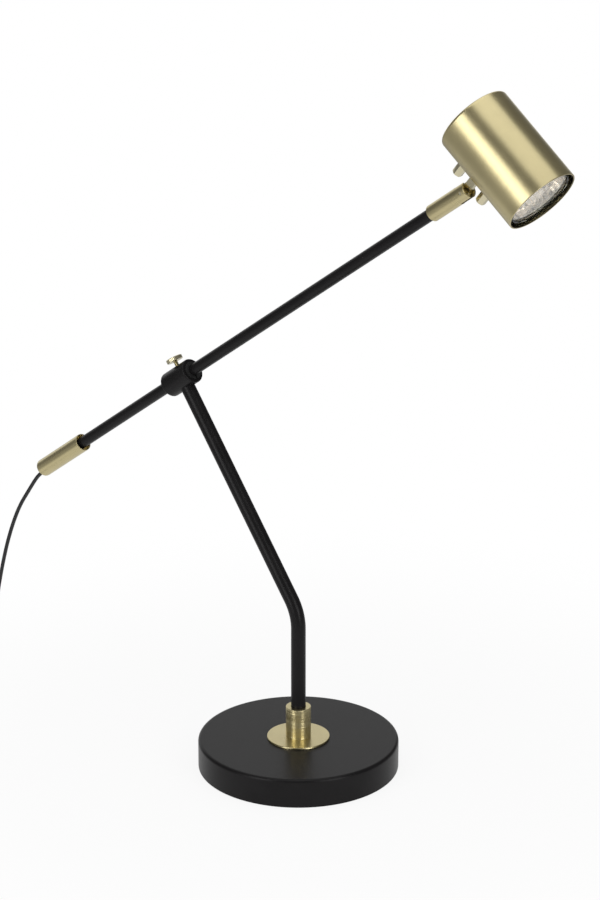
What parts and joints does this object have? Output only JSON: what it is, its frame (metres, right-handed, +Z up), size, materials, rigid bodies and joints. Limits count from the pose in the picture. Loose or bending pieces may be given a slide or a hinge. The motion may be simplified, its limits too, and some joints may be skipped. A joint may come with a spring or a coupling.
{
  "type": "counterweight balance desk lamp",
  "caption": "Desk lamp with a round weighted base, a bent stem, a sliding arm balanced by a brass counterweight handle, and a tilting cylindrical brass head.",
  "frame": {"origin": "middle of the base's underside, on the table", "axes": "+Z up; the stem leans towards -X and the arm carries the head towards +X, so stem, arm and head lie in the XZ plane"},
  "size_m": [0.6981, 0.1946, 0.5755],
  "materials": {
    "black_paint": "satin powder coat",
    "brass": "brushed, lacquered",
    "cast_iron": "raw",
    "steel": "zinc plated",
    "rubber": "matte",
    "nylon": "matte",
    "cord": "matte",
    "switch_plastic": "satin",
    "ceramic": "unglazed",
    "lamp_glass": "clear",
    "reflector": "faceted, metallised glass",
    "coil_tie": "satin"
  },
  "bodies": {
    "stand": {"base_cover": "black_paint", "base_weight": "cast_iron", "base_pad": "rubber", "base_washer": "steel", "base_bolt": "steel", "flange_plate": "brass", "stem_collar": "brass", "collar_grub_screw": "steel", "stem_tube": "black_paint", "arm_sleeve": "black_paint", "sleeve_bush": "nylon", "cord_drop": "cord", "cord_link": "cord", "cord_coil": "cord", "cord_tail": "cord", "coil_tie": "coil_tie", "switch_base": "switch_plastic", "switch_cover": "switch_plastic", "plug_body": "switch_plastic", "plug_pins": "steel"},
    "thumbscrew": {"thumbscrew": "brass"},
    "rocker": {"switch_rocker": "switch_plastic"},
    "cord_end": {"tail_relief": "rubber"},
    "arm": {"arm_tube": "black_paint", "counterweight_handle": "brass", "inner_lead": "cord", "arm_ferrule": "brass", "tilt_pin": "steel", "tilt_washers": "nylon"},
    "head": {"swivel_tongue": "brass", "head_plate": "brass", "plate_spacers": "brass", "plate_nuts": "brass", "plate_screws": "steel", "head_shell": "brass", "holder_bracket": "steel", "lamp_holder": "ceramic", "holder_screws": "steel", "lamp_reflector": "reflector", "lamp_lens": "lamp_glass", "lamp_burner": "lamp_glass", "lamp_pins": "steel"}
  },
  "joints": [
    {"name": "arm_slide", "type": "slide", "parent": "stand", "child": "cord_end", "axis": [0.8141, 0, 0.5807], "range_m": [-0.28, 0.119], "deforming": ["cord_drop"]},
    {"name": "arm_roll", "type": "hinge", "parent": "cord_end", "child": "arm", "pos_m": [-0.12125, 0, 0.30019], "axis": [0.8141, 0, 0.5807], "range_deg": [-90, 90]},
    {"name": "head_tilt", "type": "hinge", "parent": "arm", "child": "head", "pos_m": [0.15758, 0, 0.49908], "axis": [0, 1, 0], "range_deg": [-50, 75]},
    {"name": "thumbscrew_turn", "type": "hinge", "parent": "stand", "child": "thumbscrew", "pos_m": [-0.12938, 0, 0.31159], "axis": [-0.5807, 0, 0.8141], "range_deg": [-180, 180]},
    {"name": "switch_rock", "type": "hinge", "parent": "stand", "child": "rocker", "pos_m": [-0.3658, -0.0708, 0.0106], "axis": [0.9539, -0.3, 0], "range_deg": [-16, 0]}
  ]
}
